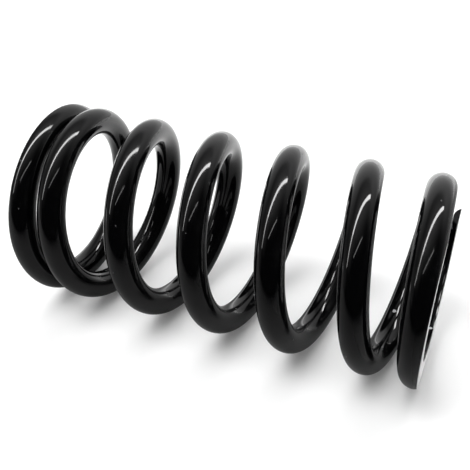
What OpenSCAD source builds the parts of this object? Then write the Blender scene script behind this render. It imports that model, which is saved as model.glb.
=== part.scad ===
// Compression spring wound from one length of round wire.
// Both ends are closed, so that the last turn lies beside its neighbour, and ground flat.
// The coil is right-handed, stands on +Z and has its origin at the middle of the bottom end.

/* [Spring] */
// Clear diameter through the middle of the coil
bore_d = 63.5; // [45:0.5:100]
// Thickness of the round wire
wire_d = 12; // [7:0.25:14]
// Height at rest, from one ground end to the other
free_length = 177.5; // [140:0.5:240]
// Turns of wire from tip to tip
turns = 6.9; // [6:0.05:9]

/* [Ends] */
// Turns from the bottom tip to where the coil opens out
bottom_closed = 1.05; // [0.9:0.05:1.5]
// Turns from the top tip to where the coil opens out
top_closed = 1.275; // [0.9:0.025:1.5]
// Turns that the coil takes to open out from the bottom closed turn to its full pitch
bottom_opening = 0.6; // [0.3:0.05:0.9]
// Turns that the coil takes to close in from its full pitch to the top closed turn
top_opening = 0.4; // [0.3:0.05:0.9]
// Clearance between the bottom closed turn and the turn above it
bottom_gap = 1.3; // [0.1:0.1:3]
// Clearance between the top closed turn and the turn below it
top_gap = 1.9; // [0.1:0.1:3]
// Thickness that grinding leaves at the bottom tip of the wire
bottom_tip_t = 2.6; // [1.5:0.1:4]
// Thickness that grinding leaves at the top tip of the wire
top_tip_t = 4.8; // [1.5:0.1:6]
// Direction of the bottom tip, seen from above
tip_angle = 180; // [0:9:351]

/* [Smoothness] */
// Sides of the wire's section
wire_sides = 20; // [12:2:24]
// Sections of wire in each turn
turn_steps = 40; // [24:4:44]

/* [Hidden] */
wire_r = wire_d / 2;
coil_r = bore_d / 2 + wire_r;
steps = round(turns * turn_steps);
// Rise of the wire in one turn: near each tip, and between the closed turns
bottom_lead = wire_d + bottom_gap;
top_lead = wire_d + top_gap;
// Depth of the wire's centre inside each ground end, at its tip
bottom_tip = bottom_tip_t - wire_r;
top_tip = top_tip_t - wire_r;
pitch = (free_length - bottom_tip - top_tip - bottom_lead * bottom_closed - top_lead * top_closed)
    / (turns - bottom_closed - top_closed);
// A block that reaches past the whole coil, for grinding an end flat
grind_w = 4 * (coil_r + wire_r);

// Smooth step from 0 to 1, and the area under it up to the same place
function smooth_step(u) = let (v = max(0, min(1, u))) v * v * (3 - 2 * v);
function smooth_area(u) = u <= 0 ? 0 : u >= 1 ? u - 0.5 : pow(u, 3) - pow(u, 4) / 2;

// How far through each opening stretch the wire is, t turns from the bottom tip
function from_bottom(t) = (t - bottom_closed) / bottom_opening + 0.5;
function from_top(t) = (t - turns + top_closed) / top_opening + 0.5;

// Rise a turn, and height of the wire's centre, t turns from the bottom tip
function lead(t) = bottom_lead
    + (pitch - bottom_lead) * smooth_step(from_bottom(t))
    + (top_lead - pitch) * smooth_step(from_top(t));
function height(t) = bottom_tip + bottom_lead * t
    + (pitch - bottom_lead) * bottom_opening * smooth_area(from_bottom(t))
    + (top_lead - pitch) * top_opening * smooth_area(from_top(t));

// One round section of wire, square to the wire's own direction
function section(t) =
    let (turn = tip_angle + 360 * t, rise = atan(lead(t) / (2 * PI * coil_r)))
    let (out = [cos(turn), sin(turn), 0])
    let (up = [sin(turn) * sin(rise), -cos(turn) * sin(rise), cos(rise)])
    [for (j = [0 : wire_sides - 1])
        let (a = 360 * j / wire_sides)
        coil_r * out + [0, 0, height(t)] + wire_r * (cos(a) * out + sin(a) * up)];

// The full round wire, before its ends are ground
module round_wire() {
    rings = [for (i = [0 : steps]) each section(turns * i / steps)];
    sides = [for (i = [0 : steps - 1], j = [0 : wire_sides - 1])
        let (k = (j + 1) % wire_sides, low = i * wire_sides, high = low + wire_sides)
        each [[low + j, high + j, high + k], [low + j, high + k, low + k]]];
    first = [for (j = [0 : wire_sides - 1]) j];
    last = [for (j = [wire_sides - 1 : -1 : 0]) steps * wire_sides + j];
    polyhedron(points = rings, faces = concat(sides, [first, last]), convexity = 12);
}

// Everything on the outer side of a ground end: side is -1 below and 1 above
module ground_off(z, side) {
    translate([0, 0, z + side * grind_w / 2])
        cube(grind_w, center = true);
}

module coil_spring() {
    color([0.03, 0.03, 0.035])
    difference() {
        round_wire();
        ground_off(0, -1);
        ground_off(free_length, 1);
    }
}

coil_spring();
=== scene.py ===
from math import atan, cos, pi, radians, sin, sqrt

import bmesh
import bpy
from bpy.props import FloatProperty, FloatVectorProperty, IntProperty, PointerProperty
from bpy.types import Operator, Panel, PropertyGroup
from mathutils import Matrix, Vector


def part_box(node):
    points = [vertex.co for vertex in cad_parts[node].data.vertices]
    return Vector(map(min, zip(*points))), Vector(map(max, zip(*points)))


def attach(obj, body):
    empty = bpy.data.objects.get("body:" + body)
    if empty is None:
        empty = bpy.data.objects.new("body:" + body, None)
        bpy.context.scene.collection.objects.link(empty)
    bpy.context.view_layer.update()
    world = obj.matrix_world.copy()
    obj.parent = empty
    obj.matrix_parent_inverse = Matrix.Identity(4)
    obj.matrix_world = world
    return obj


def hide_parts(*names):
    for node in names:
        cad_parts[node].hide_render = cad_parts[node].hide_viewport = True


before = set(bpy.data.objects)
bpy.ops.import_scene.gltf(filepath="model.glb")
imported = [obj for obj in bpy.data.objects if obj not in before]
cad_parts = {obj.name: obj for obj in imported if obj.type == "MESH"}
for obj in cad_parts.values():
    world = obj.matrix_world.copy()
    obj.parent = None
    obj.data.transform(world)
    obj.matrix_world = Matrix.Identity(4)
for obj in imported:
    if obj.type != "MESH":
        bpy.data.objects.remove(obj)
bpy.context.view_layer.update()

bl_info = {
    "name": "Compression Spring",
    "version": (1, 0, 0),
    "blender": (4, 5, 0),
    "location": "3D View > Sidebar > Spring",
    "description": "Winds, grinds and coats a compression spring and sets its studio",
    "category": "Object",
}

CAD_NODE = "coil_spring"
CAD_LOW, CAD_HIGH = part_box(CAD_NODE)

# Chips in the coating, and painted highlights: turns from the bottom tip, degrees round the wire
# from outward towards
# the top, radius, and share of steel colour
# The rows at 0.019 and 0.253 turns are painted highlights: pale steel colour set where the coating
# glints, with a chip's dent and roughness
CHIPS_AND_GLINTS = ((1.848, 50, 0.0006, 0.04), (2.453, -81, 0.0006, 0.08), (1.492, 25, 0.0006, 0.10),
         (3.776, 44, 0.0003, 0.05), (6.681, 8, 0.0005, 0.08), (0.253, 168, 0.0009, 1.0),
         (0.019, 111, 0.0016, 0.80), (0.761, -9, 0.0004, 0.02), (1.233, 166, 0.0010, 0.80),
         (6.607, -23, 0.0004, 0.08), (4.616, -19, 0.0004, 0.08), (3.631, 1, 0.0003, 0.08))

# Turn of the grinding wheel's lines on the ground ends
GRINDING_WAY = (0, 0, radians(28))

# Tube lamps, in lamp heights: left end, right end, distance away, width and slope, and then
# the setting that holds the brightness and the share of it that the tube has
TUBES = (("first_tube", -0.85, 0.95, 0.12, 0.12, 0.35, "near_tube", 1.0),
         ("first_tube_end", -3.6, -0.85, 0.12, 0.12, 0.34, "near_tube", 0.6),
         ("second_tube", -0.6, 0.5, -0.73, 0.04, 0.37, "far_tube", 1.0))

# Soft lights of the room: direction to the right, away and up, then how narrow each one is
# and the setting that holds its brightness
SOFT_LIGHTS = (((-0.384, -0.162, 0.909), 23.2, "overhead"),
               ((0.332, 0.831, 0.446), 12.5, "behind"),
               ((0.757, -0.623, 0.199), 11.7, "beside"))

# Stretches of floor, counted away from the spring's middle, over which its mirror image gets
# brighter
FLOOR_STEPS = ((-0.26, -0.04), (0.025, 0.145), (0.15, 1.5))

# Floor under the lying spring: its middle to the right and away, then how wide and deep it is
LYING_FLOOR = ((-0.3, 0.865), (2.4, 2.27))

# Floor under the standing spring: its side, then the height, side and brightness of its light
STANDING_FLOOR = 1.2
STANDING_LIGHT = (1.2, 0.8, 4.0)


# Sizes and colours

class SpringCoilSizes(PropertyGroup):
    """Sizes of the coil"""
    outer_d: FloatProperty(
        name="Outside diameter", description="Widest diameter of the coil",
        default=CAD_HIGH.x - CAD_LOW.x, min=0.02, unit="LENGTH", subtype="DISTANCE")
    wire_d: FloatProperty(
        name="Wire", description="Thickness of the round wire",
        default=0.012, min=0.002, unit="LENGTH", subtype="DISTANCE")
    free_length: FloatProperty(
        name="Free length", description="Height at rest between the ground ends",
        default=CAD_HIGH.z - CAD_LOW.z, min=0.02, unit="LENGTH", subtype="DISTANCE")
    turns: FloatProperty(
        name="Turns", description="Turns of wire from tip to tip", default=6.9, min=3.0)
    bottom_closed: FloatProperty(
        name="Bottom closed turns",
        description="Turns from the bottom tip to where the coil opens out", default=1.05)
    top_closed: FloatProperty(
        name="Top closed turns",
        description="Turns from the top tip to where the coil opens out", default=1.275)
    bottom_opening: FloatProperty(
        name="Bottom opening", description="Turns that the coil takes to open out above the bottom",
        default=0.6, min=0.1)
    top_opening: FloatProperty(
        name="Top opening", description="Turns that the coil takes to close in below the top",
        default=0.4, min=0.1)
    bottom_gap: FloatProperty(
        name="Bottom clearance", description="Clearance beside the bottom closed turn",
        default=0.0013, unit="LENGTH", subtype="DISTANCE")
    top_gap: FloatProperty(
        name="Top clearance", description="Clearance beside the top closed turn",
        default=0.0019, unit="LENGTH", subtype="DISTANCE")
    bottom_tip_t: FloatProperty(
        name="Bottom tip", description="Thickness that grinding leaves at the bottom tip",
        default=0.0026, unit="LENGTH", subtype="DISTANCE")
    top_tip_t: FloatProperty(
        name="Top tip", description="Thickness that grinding leaves at the top tip",
        default=0.0048, unit="LENGTH", subtype="DISTANCE")
    tip_angle: FloatProperty(
        name="Tip direction", description="Direction of the bottom tip, seen from above",
        default=pi, unit="ROTATION", subtype="ANGLE")
    edge_break: FloatProperty(
        name="Edge break", description="Width of the broken edge round a ground end",
        default=0.0002, unit="LENGTH", subtype="DISTANCE")
    wire_sides: IntProperty(
        name="Wire sides", description="Sides of the wire's round section", default=48, min=8)
    turn_steps: IntProperty(
        name="Steps a turn", description="Sections of wire in each turn", default=96, min=16)


class SpringCoatingLook(PropertyGroup):
    """Colours, roughness and relief of the coating"""
    colour: FloatVectorProperty(
        name="Coating", description="Colour of the black coating",
        default=(0.0009, 0.0009, 0.0011, 1.0), size=4, min=0.0, max=1.0, subtype="COLOR")
    dust_colour: FloatVectorProperty(
        name="Dust", description="Colour of the specks that sit in the coating",
        default=(0.09, 0.088, 0.085, 1.0), size=4, min=0.0, max=1.0, subtype="COLOR")
    scuff_colour: FloatVectorProperty(
        name="Scuffs", description="Colour of the lines that grinding leaves under the coating",
        default=(0.55, 0.55, 0.54, 1.0), size=4, min=0.0, max=1.0, subtype="COLOR")
    # Steel colour of the chipped spots, also painted as highlights where the coating glints
    chip_and_glint_colour: FloatVectorProperty(
        name="Chips", description="Colour of the steel in the few chips of the coating",
        default=(0.62, 0.62, 0.64, 1.0), size=4, min=0.0, max=1.0, subtype="COLOR")
    gloss_roughness: FloatProperty(
        name="Gloss roughness", description="Roughness of the clean coating",
        default=0.05, min=0.0, max=1.0, subtype="FACTOR")
    smudge_roughness: FloatProperty(
        name="Smudge roughness", description="Roughness of the coating where it is smudged",
        default=0.11, min=0.0, max=1.0, subtype="FACTOR")
    matt_roughness: FloatProperty(
        name="Speck roughness", description="Roughness that a speck or a chip adds",
        default=0.4, min=0.0, max=1.0, subtype="FACTOR")
    chip_depth: FloatProperty(
        name="Chip depth", description="Depth of a chip in the coating",
        default=0.00008, unit="LENGTH", subtype="DISTANCE")
    peel_size: FloatProperty(
        name="Orange peel size", description="Width of one swell in the gloss coating",
        default=0.0022, unit="LENGTH", subtype="DISTANCE")
    peel_height: FloatProperty(
        name="Orange peel height", description="Height of the swells in the gloss coating",
        default=0.000018, unit="LENGTH", subtype="DISTANCE")
    speck_gap: FloatProperty(
        name="Speck spacing", description="Size of the cells that may hold one speck",
        default=0.006, unit="LENGTH", subtype="DISTANCE")
    speck_r: FloatProperty(
        name="Speck radius", description="Radius of the largest speck",
        default=0.00035, unit="LENGTH", subtype="DISTANCE")


class SpringStudioLook(PropertyGroup):
    """Camera, floor and lights"""
    lie_angle: FloatProperty(
        name="Lying side", description="Direction, round the coil, that is up in the picture",
        default=radians(104.95), unit="ROTATION", subtype="ANGLE")
    heading: FloatProperty(
        name="Heading", description="Turn of the lying spring as the camera sees it",
        default=radians(22.29), unit="ROTATION", subtype="ANGLE")
    camera_back: FloatProperty(
        name="Camera distance", description="How far in front of the spring the camera stands",
        default=0.26374, unit="LENGTH", subtype="DISTANCE")
    camera_side: FloatProperty(
        name="Camera side step", description="How far to the right of the middle it stands",
        default=-0.00121, unit="LENGTH", subtype="DISTANCE")
    camera_height: FloatProperty(
        name="Camera height", description="Height of the camera above the spring's axis",
        default=0.18405, unit="LENGTH", subtype="DISTANCE")
    camera_tilt: FloatProperty(
        name="Camera tilt", description="How far the camera looks down",
        default=radians(34.856), unit="ROTATION", subtype="ANGLE")
    lens: FloatProperty(
        name="Lens", description="Focal length on a 36 mm sensor",
        default=55.972, unit="CAMERA")
    floor_colour: FloatVectorProperty(
        name="Floor", description="Colour of the floor under the lamps",
        default=(0.9, 0.9, 0.9, 1.0), size=4, min=0.0, max=1.0, subtype="COLOR")
    floor_glow: FloatProperty(
        name="Floor white", description="How much brighter the camera sees the floor",
        default=0.07, min=0.0, max=1.0, subtype="FACTOR")
    gloss_beside: FloatProperty(
        name="Gloss beside", description="Share of the floor beside the spring that gloss mirrors",
        default=0.26, min=0.0)
    gloss_behind: FloatProperty(
        name="Gloss behind", description="Share of the floor behind the spring that gloss mirrors",
        default=0.92, min=0.0)
    gloss_horizon: FloatProperty(
        name="Gloss at the horizon", description="Share of the farthest floor that gloss mirrors",
        default=1.5, min=0.0)
    lamp_height: FloatProperty(
        name="Lamp height", description="Height of the tube lamps above the spring",
        default=2.0, unit="LENGTH", subtype="DISTANCE")
    near_tube: FloatProperty(
        name="First tube", description="Brightness of the tube lamp over the spring",
        default=16.0, min=0.0)
    far_tube: FloatProperty(
        name="Second tube", description="Brightness of the tube lamp behind the camera",
        default=5.5, min=0.0)
    overhead: FloatProperty(
        name="Overhead light", description="Brightness of the soft light that casts the shadows",
        default=9.5, min=0.0)
    behind: FloatProperty(
        name="Light behind", description="Brightness of the soft light behind the spring",
        default=7.0, min=0.0)
    beside: FloatProperty(
        name="Light beside", description="Brightness of the low soft light at the right",
        default=4.2, min=0.0)
    fill: FloatProperty(
        name="Room light", description="Even light of the room on every side",
        default=0.03, min=0.0)


# Node helpers

def put(tree, kind, inputs=(), **settings):
    """Adds a shader node. inputs maps a socket's name or number to a value or to an output."""
    node = tree.nodes.new(kind)
    for name, value in settings.items():
        setattr(node, name, value)
    for key, value in dict(inputs).items():
        socket = node.inputs[key]
        if isinstance(value, bpy.types.NodeSocket):
            tree.links.new(value, socket)
        else:
            socket.default_value = value
    return node


def maths(tree, operation, *values):
    """Output of one Math node."""
    return put(tree, "ShaderNodeMath", enumerate(values), operation=operation).outputs[0]


def ranged(tree, value, low, high, to_low=0.0, to_high=1.0):
    """Output that runs smoothly from to_low at low to to_high at high."""
    return put(tree, "ShaderNodeMapRange",
               {"Value": value, "From Min": low, "From Max": high,
                "To Min": to_low, "To Max": to_high},
               interpolation_type="SMOOTHSTEP").outputs["Result"]


def mixed(tree, share, first, second):
    """Colour that runs from the first to the second as the share runs from 0 to 1."""
    return put(tree, "ShaderNodeMix", {"Factor": share, 6: first, 7: second},
               data_type="RGBA").outputs[2]


def seen_and_gloss(tree):
    """Two masks: 1 for what the camera sees, also through glass, and 1 for what gloss mirrors."""
    path = put(tree, "ShaderNodeLightPath")
    seen = maths(tree, "MAXIMUM", path.outputs["Is Camera Ray"],
                 path.outputs["Is Transmission Ray"])
    return seen, path.outputs["Is Glossy Ray"]


def new_group(name, sockets_in, sockets_out):
    """An empty shader node group with its input and output nodes."""
    group = bpy.data.node_groups.new(name, "ShaderNodeTree")
    for label, kind, default in sockets_in:
        socket = group.interface.new_socket(label, in_out="INPUT", socket_type=kind)
        if default is not None:
            socket.default_value = default
    for label, kind in sockets_out:
        group.interface.new_socket(label, in_out="OUTPUT", socket_type=kind)
    return group, group.nodes.new("NodeGroupInput"), group.nodes.new("NodeGroupOutput")


def cells_of(group, entry):
    """The group's Vector input, counted in steps of its Size input."""
    return put(group, "ShaderNodeVectorMath",
               {0: entry.outputs["Vector"],
                "Scale": maths(group, "DIVIDE", 1.0, entry.outputs["Size"])},
               operation="SCALE").outputs[0]


def orange_peel_group():
    """Slow swells of a sprayed and baked coating, as a height from -0.5 to 0.5."""
    group, entry, leave = new_group(
        "Orange Peel", [("Vector", "NodeSocketVector", None), ("Size", "NodeSocketFloat", 0.002)],
        [("Height", "NodeSocketFloat")])
    noise = put(group, "ShaderNodeTexNoise",
                {"Vector": cells_of(group, entry), "Scale": 0.5, "Detail": 1.5, "Roughness": 0.4})
    group.links.new(maths(group, "SUBTRACT", noise.outputs[0], 0.5), leave.inputs["Height"])
    return group


def specks_group():
    """Scattered round specks of uneven size: 1 on a speck and 0 elsewhere."""
    group, entry, leave = new_group(
        "Coating Specks",
        [("Vector", "NodeSocketVector", None), ("Size", "NodeSocketFloat", 0.006),
         ("Radius", "NodeSocketFloat", 0.0003), ("Share", "NodeSocketFloat", 0.2)],
        [("Mask", "NodeSocketFloat")])
    cells = put(group, "ShaderNodeTexVoronoi",
                {"Vector": cells_of(group, entry), "Scale": 1.0, "Randomness": 0.9})
    chance = put(group, "ShaderNodeSeparateColor", {0: cells.outputs["Color"]})
    radius = maths(group, "DIVIDE", entry.outputs["Radius"], entry.outputs["Size"])
    own = maths(group, "MULTIPLY", radius, ranged(group, chance.outputs["Green"], 0, 1, 0.3, 1))
    inside = ranged(group, maths(group, "DIVIDE", cells.outputs["Distance"], own), 0.7, 1.0, 1, 0)
    picked = maths(group, "LESS_THAN", chance.outputs["Red"], entry.outputs["Share"])
    group.links.new(maths(group, "MULTIPLY", inside, picked), leave.inputs["Mask"])
    return group


def chip_and_glint_group():
    """One chipped spot, also used for a painted highlight, with an uneven outline round a point: 1
    inside it and 0 elsewhere.
    """
    group, entry, leave = new_group(
        "Coating Chip And Glint",
        [("Vector", "NodeSocketVector", None), ("Point", "NodeSocketVector", None),
         ("Radius", "NodeSocketFloat", 0.0006)],
        [("Mask", "NodeSocketFloat")])
    uneven = put(group, "ShaderNodeTexNoise", {"Vector": entry.outputs["Vector"], "Scale": 1400.0,
                                               "Detail": 2.0, "Roughness": 0.6})
    from_point = put(group, "ShaderNodeVectorMath",
                     {0: entry.outputs["Vector"], 1: entry.outputs["Point"]},
                     operation="DISTANCE").outputs["Value"]
    share = maths(group, "ADD", maths(group, "DIVIDE", from_point, entry.outputs["Radius"]),
                  maths(group, "MULTIPLY", uneven.outputs[0], 1.6))
    group.links.new(ranged(group, share, 1.45, 1.7, 1, 0), leave.inputs["Mask"])
    return group


def smudges_group():
    """Broad soft patches left by handling, from 0 to 1."""
    group, entry, leave = new_group(
        "Handling Smudges",
        [("Vector", "NodeSocketVector", None), ("Size", "NodeSocketFloat", 0.012)],
        [("Value", "NodeSocketFloat")])
    noise = put(group, "ShaderNodeTexNoise",
                {"Vector": cells_of(group, entry), "Scale": 1.0, "Detail": 3.0, "Roughness": 0.55})
    group.links.new(ranged(group, noise.outputs[0], 0.4, 0.7), leave.inputs["Value"])
    return group


# Materials

def new_material(name):
    """A node material with a Principled BSDF and the object's own coordinates."""
    material = bpy.data.materials.new(name)
    material.use_nodes = True
    tree = material.node_tree
    place = put(tree, "ShaderNodeTexCoord").outputs["Object"]
    return material, tree, tree.nodes["Principled BSDF"], place


def set_shader(shader, **values):
    """Sets the shader's own sockets, for what is the same all over the surface."""
    for name, value in values.items():
        shader.inputs[name.replace("_", " ")].default_value = value


def place_group(tree, group, **inputs):
    """Places a node group, with its inputs by name, and gives its first output."""
    return put(tree, "ShaderNodeGroup", inputs, node_tree=group).outputs[0]


def set_relief(tree, shader, height):
    """Bends the shader's normal by a height in metres."""
    bump = put(tree, "ShaderNodeBump", {"Height": height, "Distance": 1.0, "Strength": 1.0})
    tree.links.new(bump.outputs[0], shader.inputs["Normal"])


def chips_and_glints(tree, groups, run, place):
    """Masks of the chipped spots: how much steel colour shows, painted highlights included, and
    where the coating is broken.
    """
    steel_and_glint, broken = 0.0, 0.0
    for turn, angle, radius, steel in CHIPS_AND_GLINTS:
        chip = place_group(tree, groups["chip"], Vector=place, Radius=radius,
                           Point=run.skin(turn, radians(angle)))
        # At the glint rows the share of steel paints a highlight
        steel_and_glint = maths(tree, "MULTIPLY_ADD", chip, steel, steel_and_glint)
        broken = maths(tree, "MAXIMUM", chip, broken)
    return steel_and_glint, broken


def coating_material(look, groups, run):
    """Black gloss coating with orange peel, faint smudges, specks, a few chipped spots to the steel
    and painted highlights of steel colour where it glints.
    """
    material, tree, shader, place = new_material("Black coating")
    peel = place_group(tree, groups["peel"], Vector=place, Size=look.peel_size)
    fine = place_group(tree, groups["peel"], Vector=place, Size=look.peel_size * 0.3)
    specks = place_group(tree, groups["specks"], Vector=place, Size=look.speck_gap,
                         Radius=look.speck_r, Share=0.2)
    smudge = place_group(tree, groups["smudges"], Vector=place, Size=0.012)
    steel_and_glint, chipped = chips_and_glints(tree, groups, run, place)
    coat = mixed(tree, specks, look.colour, look.dust_colour)
    # Steel colour of the chipped spots and of the painted highlights
    tree.links.new(mixed(tree, steel_and_glint, coat, look.chip_and_glint_colour), shader.inputs["Base Color"])
    matt = maths(tree, "MAXIMUM", specks, chipped)
    gloss = ranged(tree, smudge, 0, 1, look.gloss_roughness, look.smudge_roughness)
    rough = maths(tree, "ADD", gloss, maths(tree, "MULTIPLY", matt, look.matt_roughness))
    tree.links.new(rough, shader.inputs["Roughness"])
    swells = maths(tree, "ADD", maths(tree, "MULTIPLY", peel, look.peel_height),
                   maths(tree, "MULTIPLY", fine, look.peel_height * 0.22))
    marks = maths(tree, "SUBTRACT", maths(tree, "MULTIPLY", specks, look.speck_r * 0.15),
                  maths(tree, "MULTIPLY", chipped, look.chip_depth))
    set_relief(tree, shader, maths(tree, "ADD", swells, marks))
    set_shader(shader, IOR=1.5)
    return material


def grinding_noise(tree, place, along, across, **settings):
    """Noise drawn out along the grinding wheel's lines, with its scale along and across them."""
    drawn = put(tree, "ShaderNodeMapping", {"Vector": place, "Rotation": GRINDING_WAY,
                                            "Scale": (along, across, 0.0)})
    return put(tree, "ShaderNodeTexNoise",
               {"Vector": drawn.outputs[0], "Scale": 1.0, **settings}).outputs[0]


def ground_material(look, groups):
    """The same coating over a ground end, where the wheel's fine lines show through.

    The sheen turns the end pale where it is seen almost edge on.
    """
    material, tree, shader, place = new_material("Coated ground end")
    peel = place_group(tree, groups["peel"], Vector=place, Size=look.peel_size)
    smudge = place_group(tree, groups["smudges"], Vector=place, Size=0.008)
    scratch = grinding_noise(tree, place, 120.0, 6000.0, Detail=3.0, Roughness=0.6)
    pale = ranged(tree, grinding_noise(tree, place, 18.0, 900.0, Detail=2.0), 0.3, 0.65)
    scuffed = maths(tree, "MULTIPLY_ADD", pale, 0.12, 0.04)
    colour = mixed(tree, scuffed, look.colour, look.scuff_colour)
    tree.links.new(colour, shader.inputs["Base Color"])
    rough = maths(tree, "ADD", ranged(tree, pale, 0, 1, 0.03, 0.08),
                  maths(tree, "MULTIPLY", smudge, 0.01))
    tree.links.new(rough, shader.inputs["Roughness"])
    scratch_depth = 0.0000002
    set_relief(tree, shader, maths(tree, "ADD", maths(tree, "MULTIPLY", scratch, scratch_depth),
                                   maths(tree, "MULTIPLY", peel, look.peel_height * 0.1)))
    set_shader(shader, IOR=1.5, Sheen_Weight=1.0, Sheen_Roughness=0.35)
    return material


# The coil

class WireRun:
    """Where the wire's middle runs, counted in turns from the bottom tip."""

    def __init__(self, size):
        self.size = size
        self.wire_r = size.wire_d / 2
        self.coil_r = size.outer_d / 2 - self.wire_r
        self.low_lead = size.wire_d + size.bottom_gap
        self.high_lead = size.wire_d + size.top_gap
        self.low_tip = size.bottom_tip_t - self.wire_r
        high_tip = size.top_tip_t - self.wire_r
        closed = self.low_lead * size.bottom_closed + self.high_lead * size.top_closed
        self.pitch = ((size.free_length - self.low_tip - high_tip - closed)
                      / (size.turns - size.bottom_closed - size.top_closed))

    def opened(self, turn):
        """How far the wire is through the lower and the upper opening stretch."""
        size = self.size
        return ((turn - size.bottom_closed) / size.bottom_opening + 0.5,
                (turn - size.turns + size.top_closed) / size.top_opening + 0.5)

    def lead(self, turn):
        """Rise of the wire in one turn."""
        low, high = (share * share * (3 - 2 * share)
                     for share in (min(1, max(0, s)) for s in self.opened(turn)))
        return (self.low_lead + (self.pitch - self.low_lead) * low
                + (self.high_lead - self.pitch) * high)

    def height(self, turn):
        """Height of the wire's middle."""
        low, high = (0 if s <= 0 else s - 0.5 if s >= 1 else s ** 3 - s ** 4 / 2
                     for s in self.opened(turn))
        return (self.low_tip + self.low_lead * turn
                + (self.pitch - self.low_lead) * self.size.bottom_opening * low
                + (self.high_lead - self.pitch) * self.size.top_opening * high)

    def slope(self, turn):
        """Angle at which the wire climbs."""
        return atan(self.lead(turn) / (2 * pi * self.coil_r))

    def direction(self, turn):
        """Outward direction of the wire's middle, square to the coil's axis."""
        angle = self.size.tip_angle + 2 * pi * turn
        return Vector((cos(angle), sin(angle), 0))

    def middle(self, turn):
        """Place of the wire's middle."""
        return self.coil_r * self.direction(turn) + Vector((0, 0, self.height(turn)))

    def skin(self, turn, angle):
        """Point on the wire's skin, at an angle from outward towards the top."""
        out = self.direction(turn)
        above = Matrix.Rotation(self.slope(turn), 3, out) @ Vector((0, 0, 1))
        return self.middle(turn) + self.wire_r * (cos(angle) * out + sin(angle) * above)


def wind_wire(bm, size):
    """Spins a round section up the coil, then gives every section its own height and slope."""
    run = WireRun(size)
    place = (Matrix.Translation(run.middle(0)) @ Matrix.Rotation(size.tip_angle, 4, "Z")
             @ Matrix.Rotation(pi / 2, 4, "X"))
    section = bmesh.ops.create_circle(bm, segments=size.wire_sides, radius=run.wire_r,
                                      matrix=place)["verts"]
    first = list({edge for vert in section for edge in vert.link_edges})
    steps = round(size.turns * size.turn_steps)
    rise = run.pitch * size.turns / steps
    last = bmesh.ops.spin(bm, geom=section + first, cent=(0, 0, 0), axis=(0, 0, 1),
                          angle=2 * pi * size.turns, steps=steps, dvec=(0, 0, rise),
                          use_duplicate=False, use_merge=False)["geom_last"]
    for index, vert in enumerate(bm.verts):
        count = index // size.wire_sides
        turn = size.turns * count / steps
        even = run.coil_r * run.direction(turn) + Vector((0, 0, run.height(0) + rise * count))
        lean = Matrix.Rotation(run.slope(turn), 3, run.direction(turn))
        vert.co = run.middle(turn) + lean @ (vert.co - even)
    for edges in (first, [item for item in last if isinstance(item, bmesh.types.BMEdge)]):
        bmesh.ops.edgeloop_fill(bm, edges=edges)


def grind_end(bm, height, side, edge_break):
    """Grinds an end flat at a height, with side -1 below and 1 above, and breaks its edge."""
    cut = bmesh.ops.bisect_plane(
        bm, geom=bm.verts[:] + bm.edges[:] + bm.faces[:], dist=1e-7,
        plane_co=(0, 0, height), plane_no=(0, 0, side), clear_outer=True)["geom_cut"]
    rim = [item for item in cut if isinstance(item, bmesh.types.BMEdge)]
    ground = bmesh.ops.holes_fill(bm, edges=rim, sides=0)["faces"]
    for face in ground:
        face.material_index = 1
    bmesh.ops.bevel(bm, geom=rim, offset=edge_break, offset_type="OFFSET", segments=2,
                    profile=0.5, affect="EDGES", clamp_overlap=True, material=-1)


def coil_mesh(size):
    """The whole coil as one closed mesh."""
    bm = bmesh.new()
    wind_wire(bm, size)
    for height, side in ((0, -1), (size.free_length, 1)):
        grind_end(bm, height, side, size.edge_break)
    bmesh.ops.recalc_face_normals(bm, faces=bm.faces)
    for face in bm.faces:
        face.smooth = len(face.verts) <= 4
    mesh = bpy.data.meshes.new("coil")
    bm.to_mesh(mesh)
    bm.free()
    mesh.set_sharp_from_angle(angle=radians(30))
    return mesh


class SPRING_OT_wind_coil(Operator):
    """Winds the coil in place of the plain one, grinds both ends and coats it black"""
    bl_idname = "spring.wind_coil"
    bl_label = "Wind the coil"

    def execute(self, context):
        if CAD_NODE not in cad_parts:
            raise RuntimeError("the frame has no coil to wind over")
        look = context.scene.spring_coating
        groups = {"peel": orange_peel_group(), "specks": specks_group(),
                  "chip": chip_and_glint_group(), "smudges": smudges_group()}
        size = context.scene.spring_coil
        mesh = coil_mesh(size)
        mesh.materials.append(coating_material(look, groups, WireRun(size)))
        mesh.materials.append(ground_material(look, groups))
        coil = bpy.data.objects.new("coil", mesh)
        context.scene.collection.objects.link(coil)
        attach(coil, "root")
        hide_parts(CAD_NODE)
        return {"FINISHED"}


# The studio

class Studio:
    """The picture's own axes: right, away from the camera and up from the floor."""

    def __init__(self, look):
        self.up = Vector((cos(look.lie_angle), sin(look.lie_angle), 0))
        along = Vector((0, 0, 1)).cross(self.up)
        self.away = cos(look.heading) * along + sin(look.heading) * Vector((0, 0, 1))
        self.right = self.away.cross(self.up)
        self.middle = (CAD_LOW + CAD_HIGH) / 2

    def point(self, right, away, up):
        """Place at three distances from the spring's middle, along the picture's axes."""
        return self.middle + right * self.right + away * self.away + up * self.up

    def frame_at(self, place, x_axis, z_axis):
        """Matrix of something at a place, with its own Z axis and the way of X as asked."""
        z_axis = z_axis.normalized()
        y_axis = z_axis.cross(x_axis).normalized()
        turned = Matrix((y_axis.cross(z_axis), y_axis, z_axis)).transposed()
        return Matrix.Translation(place) @ turned.to_4x4()


def set_camera(scene, look, studio):
    """The camera, in front of the lying spring and above it."""
    data = bpy.data.cameras.new("Camera")
    data.lens = look.lens
    data.sensor_width = 36.0
    data.clip_start = 0.01
    data.clip_end = 50.0
    camera = bpy.data.objects.new("Camera", data)
    scene.collection.objects.link(camera)
    back = -cos(look.camera_tilt) * studio.away + sin(look.camera_tilt) * studio.up
    place = studio.point(look.camera_side, -look.camera_back, look.camera_height)
    camera.matrix_world = studio.frame_at(place, studio.right, back)
    scene.camera = camera


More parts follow.
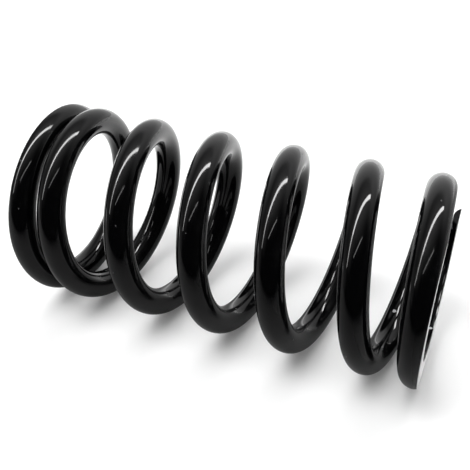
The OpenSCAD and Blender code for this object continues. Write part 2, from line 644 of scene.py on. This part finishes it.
def add_lamp(scene, studio, name, place, x_axis, z_axis, length, width, brightness, mirrored):
    """An area lamp of an even brightness. A mirrored one shows in gloss, and only there."""
    data = bpy.data.lights.new(name, "AREA")
    data.shape = "RECTANGLE"
    data.size = length
    data.size_y = width
    data.energy = brightness * pi * length * width
    lamp = bpy.data.objects.new(name, data)
    scene.collection.objects.link(lamp)
    lamp.matrix_world = studio.frame_at(place, x_axis, z_axis)
    lamp.visible_camera = False
    lamp.visible_glossy = mirrored
    lamp.visible_diffuse = not mirrored


def add_floor(scene, name, place, wide, deep, material):
    """A flat floor that faces up its place's own Z axis."""
    bm = bmesh.new()
    bmesh.ops.create_grid(bm, x_segments=1, y_segments=1, size=0.5,
                          matrix=place @ Matrix.Diagonal((wide, deep, 1, 1)))
    mesh = bpy.data.meshes.new(name)
    bm.to_mesh(mesh)
    bm.free()
    mesh.materials.append(material)
    floor = bpy.data.objects.new(name, mesh)
    scene.collection.objects.link(floor)


def mirrored_floor(tree, look, studio):
    """How bright gloss mirrors the floor: dim by the camera and bright towards the horizon."""
    place = put(tree, "ShaderNodeTexCoord").outputs["Object"]

    def beyond(way):
        """How far a point lies past the spring's middle, along a way."""
        along = put(tree, "ShaderNodeVectorMath", {0: place, 1: way}, operation="DOT_PRODUCT")
        return maths(tree, "SUBTRACT", along.outputs["Value"], studio.middle.dot(way))

    away = beyond(studio.away)
    bent = maths(tree, "MINIMUM", away, beyond(studio.away - 0.5 * studio.right))
    rises = (look.gloss_beside, look.gloss_behind - look.gloss_beside,
             look.gloss_horizon - look.gloss_behind)
    bright = 0.0
    for distance, (start, end), rise in zip((away, bent, bent), FLOOR_STEPS, rises):
        bright = maths(tree, "ADD", ranged(tree, distance, start, end, 0.0, rise), bright)
    return bright


def floor_material(name, look, studio=None):
    """White to the camera, with the spring's shadow. Only a floor with a studio is in gloss."""
    material = bpy.data.materials.new(name)
    material.use_nodes = True
    tree = material.node_tree
    tree.nodes.clear()
    seen, gloss = seen_and_gloss(tree)
    back = put(tree, "ShaderNodeNewGeometry").outputs["Backfacing"]
    share = 1.0
    hidden = maths(tree, "MAXIMUM", back, maths(tree, "SUBTRACT", 1.0, seen))
    if studio:
        drop = maths(tree, "SUBTRACT", mirrored_floor(tree, look, studio), 1.0)
        share = maths(tree, "ADD", 1.0, maths(tree, "MULTIPLY", gloss, drop))
        seen = maths(tree, "MAXIMUM", seen, gloss)
        hidden = back
    shade = put(tree, "ShaderNodeVectorMath",
                {0: look.floor_colour[:3], "Scale": maths(tree, "MINIMUM", share, 1.0)},
                operation="SCALE").outputs[0]
    extra = maths(tree, "MAXIMUM", maths(tree, "SUBTRACT", share, 1.0), 0.0)
    glow = maths(tree, "ADD", maths(tree, "MULTIPLY", look.floor_glow, share), extra)
    lit = put(tree, "ShaderNodeBsdfDiffuse", {"Color": shade})
    white = put(tree, "ShaderNodeEmission",
                {"Color": (1, 1, 1, 1), "Strength": maths(tree, "MULTIPLY", seen, glow)})
    solid = put(tree, "ShaderNodeAddShader", {0: lit.outputs[0], 1: white.outputs[0]})
    clear = put(tree, "ShaderNodeBsdfTransparent")
    surface = put(tree, "ShaderNodeMixShader",
                  {0: hidden, 1: solid.outputs[0], 2: clear.outputs[0]})
    put(tree, "ShaderNodeOutputMaterial", {"Surface": surface.outputs[0]})
    return material


def mirrored_room(tree, towards):
    """How bright gloss mirrors the room: a pale back wall, and faint light elsewhere."""
    height = towards(0, 0, 1)
    # The wall is brightest behind the spring, a little brighter at its foot and dim high up
    round_back = maths(tree, "MAXIMUM", maths(tree, "ADD", towards(0.09, 0.995, 0), 0.4), 0.0)
    back = maths(tree, "POWER", maths(tree, "DIVIDE", round_back, 1.4), 2.0)
    foot = ranged(tree, height, 0.0, 0.22, 1.05, 0.79)
    high_up = ranged(tree, height, 0.56, 0.75, 1.0, 0.45)
    wall = maths(tree, "MULTIPLY", back, maths(tree, "MULTIPLY", foot, high_up))
    # The ceiling glows faintly along the first tube lamp, and again straight above
    off_tube = maths(tree, "ABSOLUTE", towards(0.328, -0.938, 0.113))
    ceiling = maths(tree, "MULTIPLY", ranged(tree, off_tube, 0.0, 0.55, 0.3, 0.0),
                    ranged(tree, height, 0.15, 0.6))
    top = maths(tree, "MAXIMUM", maths(tree, "MULTIPLY_ADD", height, 2.0, -1.0), 0.0)
    zenith = maths(tree, "MULTIPLY", maths(tree, "POWER", top, 3.0), 0.28)
    # One low patch of light stands at the left
    left = ranged(tree, towards(-1, -0.05, -0.03), 0.9, 0.99, 0.0, 0.15)
    even = 0.008
    return maths(tree, "ADD", maths(tree, "ADD", wall, ceiling),
                 maths(tree, "ADD", maths(tree, "ADD", left, zenith), even))


def set_world(scene, look, studio):
    """A white room to the camera, with soft lights. Gloss mirrors the room of its own."""
    world = bpy.data.worlds.new("Studio")
    scene.world = world
    world.use_nodes = True
    tree = world.node_tree
    tree.nodes.clear()
    ray = put(tree, "ShaderNodeTexCoord").outputs["Generated"]

    def towards(right, away, up):
        """How straight a ray points in a direction: 1 along it and 0 across it."""
        direction = (right * studio.right + away * studio.away + up * studio.up).normalized()
        return put(tree, "ShaderNodeVectorMath", {0: ray, 1: direction},
                   operation="DOT_PRODUCT").outputs["Value"]

    lights = look.fill
    for way, narrow, setting in SOFT_LIGHTS:
        off = maths(tree, "MULTIPLY_ADD", towards(*way), narrow, -narrow)
        lights = maths(tree, "MULTIPLY_ADD", maths(tree, "EXPONENT", off),
                       getattr(look, setting), lights)
    seen, gloss = seen_and_gloss(tree)
    mirrored = maths(tree, "MULTIPLY", gloss, mirrored_room(tree, towards))
    soft = maths(tree, "MULTIPLY", lights,
                 maths(tree, "SUBTRACT", 1.0, maths(tree, "MAXIMUM", seen, gloss)))
    strength = maths(tree, "ADD", seen, maths(tree, "ADD", mirrored, soft))
    light = put(tree, "ShaderNodeBackground", {"Color": (1, 1, 1, 1), "Strength": strength})
    put(tree, "ShaderNodeOutputWorld", {"Surface": light.outputs[0]})


class SPRING_OT_set_studio(Operator):
    """Sets the camera, the floors, the lamps and the room round the spring"""
    bl_idname = "spring.set_studio"
    bl_label = "Set the studio"

    def execute(self, context):
        scene, look = context.scene, context.scene.spring_studio
        studio = Studio(look)
        scene.view_settings.view_transform = "Standard"
        set_camera(scene, look, studio)
        # The spring lies on one floor in the picture, and stands on the other in its own frame
        (aside, ahead), (wide, deep) = LYING_FLOOR
        floor_up = -context.scene.spring_coil.outer_d / 2
        place = studio.frame_at(studio.point(aside, ahead, floor_up), studio.right, studio.up)
        add_floor(scene, "lying_floor", place, wide, deep,
                  floor_material("Lying floor", look, studio))
        add_floor(scene, "standing_floor", Matrix.Identity(4), STANDING_FLOOR, STANDING_FLOOR,
                  floor_material("Standing floor", look))
        high = look.lamp_height
        for name, left, right, away, width, slope, setting, share in TUBES:
            middle = (left + right) / 2
            place = studio.point(middle * high, (away + slope * middle) * high, high)
            length = (right - left) * sqrt(1 + slope * slope) * high
            add_lamp(scene, studio, name, place, studio.right + slope * studio.away, studio.up,
                     length, width * high, share * getattr(look, setting), True)
        light_up, light_side, light_bright = STANDING_LIGHT
        add_lamp(scene, studio, "standing_light", Vector((0, 0, light_up)),
                 Vector((1, 0, 0)), Vector((0, 0, 1)), light_side, light_side, light_bright, False)
        set_world(scene, look, studio)
        return {"FINISHED"}


# Panel and add-on

class SPRING_PT_sidebar(Panel):
    """The spring's sizes, its coating and its studio"""
    bl_label = "Compression Spring"
    bl_idname = "SPRING_PT_sidebar"
    bl_space_type = "VIEW_3D"
    bl_region_type = "UI"
    bl_category = "Spring"

    def draw(self, context):
        layout = self.layout
        for label, settings, operator in (
                ("Coil", context.scene.spring_coil, None),
                ("Coating", context.scene.spring_coating, "spring.wind_coil"),
                ("Studio", context.scene.spring_studio, "spring.set_studio")):
            box = layout.box()
            box.label(text=label)
            for name in settings.__annotations__:
                box.prop(settings, name)
            if operator:
                box.operator(operator)


CLASSES = (SpringCoilSizes, SpringCoatingLook, SpringStudioLook,
           SPRING_OT_wind_coil, SPRING_OT_set_studio, SPRING_PT_sidebar)


def register():
    for each in CLASSES:
        bpy.utils.register_class(each)
    bpy.types.Scene.spring_coil = PointerProperty(type=SpringCoilSizes)
    bpy.types.Scene.spring_coating = PointerProperty(type=SpringCoatingLook)
    bpy.types.Scene.spring_studio = PointerProperty(type=SpringStudioLook)


def unregister():
    del bpy.types.Scene.spring_studio
    del bpy.types.Scene.spring_coating
    del bpy.types.Scene.spring_coil
    for each in reversed(CLASSES):
        bpy.utils.unregister_class(each)


def main():
    """Makes the spring and its studio."""
    register()
    bpy.ops.spring.wind_coil()
    bpy.ops.spring.set_studio()


if __name__ == "__main__":
    main()
